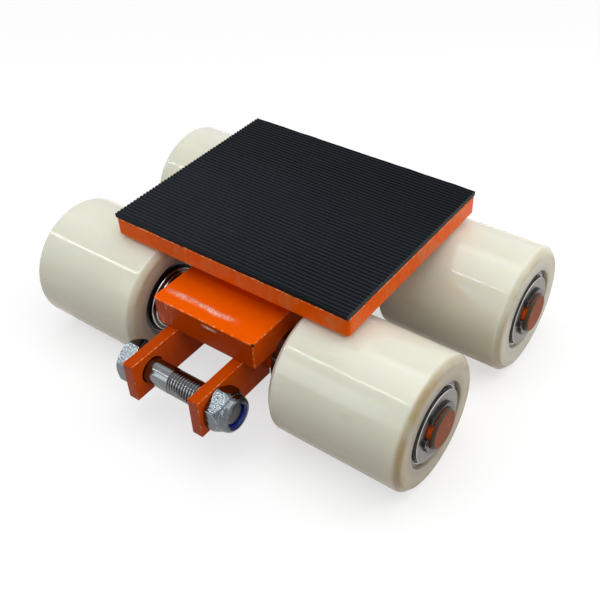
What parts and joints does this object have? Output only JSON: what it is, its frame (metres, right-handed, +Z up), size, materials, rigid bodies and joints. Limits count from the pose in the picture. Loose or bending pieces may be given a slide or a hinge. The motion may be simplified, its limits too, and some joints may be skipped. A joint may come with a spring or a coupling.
{
  "type": "machine skate",
  "caption": "Low load-moving skate: nylon rollers on two axles, a swivelling rubber-topped deck plate and a tow clevis with a through bolt.",
  "frame": {"origin": "on the floor under the middle of the outline", "axes": "+X along the axles to the right, +Y along the travel direction with the tow clevis at -Y, +Z up"},
  "size_m": [0.2858, 0.2232, 0.099],
  "materials": {
    "orange_paint": "brushed gloss enamel",
    "white_nylon": "turned",
    "bearing_steel": "ground",
    "collar_steel": "dark oiled",
    "washer_steel": "dull zinc",
    "black_spring_steel": "phosphated",
    "zinc_plate": "bright zinc",
    "blue_nylon": "moulded",
    "black_rubber": "ribbed",
    "bronze": "turned"
  },
  "bodies": {
    "chassis": {"chassis_plate": "orange_paint", "left_tow_lug": "orange_paint", "right_tow_lug": "orange_paint", "front_axle": "orange_paint", "rear_axle": "orange_paint", "bearing_inner_rings": "bearing_steel", "spacer_sleeves": "bearing_steel", "axle_collars": "collar_steel", "axle_washers": "washer_steel", "axle_circlips": "black_spring_steel", "tow_bolt": "zinc_plate", "tow_nut": "zinc_plate", "tow_nut_insert": "blue_nylon", "king_pin_bush": "bronze", "thrust_lower_race": "bearing_steel"},
    "deck": {"deck_plate": "orange_paint", "rubber_mat": "black_rubber", "king_pin": "bearing_steel", "king_pin_washer": "washer_steel", "king_pin_circlip": "black_spring_steel", "thrust_upper_race": "bearing_steel"},
    "thrust_cage": {"thrust_cage": "bronze", "thrust_rollers": "bearing_steel"},
    "front_left_wheel": {"front_left_roller": "white_nylon", "front_left_bearing_outer_rings": "bearing_steel"},
    "front_right_wheel": {"front_right_roller": "white_nylon", "front_right_bearing_outer_rings": "bearing_steel"},
    "rear_left_wheel": {"rear_left_roller": "white_nylon", "rear_left_bearing_outer_rings": "bearing_steel"},
    "rear_right_wheel": {"rear_right_roller": "white_nylon", "rear_right_bearing_outer_rings": "bearing_steel"}
  },
  "joints": [
    {"name": "deck_swivel", "type": "hinge", "parent": "chassis", "child": "deck", "pos_m": [0, 0.01992, 0.084], "axis": [0, 0, 1], "continuous": true},
    {"name": "thrust_cage_turn", "type": "hinge", "parent": "chassis", "child": "thrust_cage", "pos_m": [0, 0.01992, 0.0775], "axis": [0, 0, 1], "continuous": true},
    {"name": "front_left_spin", "type": "hinge", "parent": "chassis", "child": "front_left_wheel", "pos_m": [-0.095, -0.04272, 0.041], "axis": [1, 0, 0], "continuous": true},
    {"name": "front_right_spin", "type": "hinge", "parent": "chassis", "child": "front_right_wheel", "pos_m": [0.095, -0.04272, 0.041], "axis": [1, 0, 0], "continuous": true},
    {"name": "rear_left_spin", "type": "hinge", "parent": "chassis", "child": "rear_left_wheel", "pos_m": [-0.095, 0.07057, 0.041], "axis": [1, 0, 0], "continuous": true},
    {"name": "rear_right_spin", "type": "hinge", "parent": "chassis", "child": "rear_right_wheel", "pos_m": [0.095, 0.07057, 0.041], "axis": [1, 0, 0], "continuous": true}
  ],
  "couplings": [
    {"joint": "thrust_cage_turn", "follows": "deck_swivel", "ratio": 0.5}
  ]
}
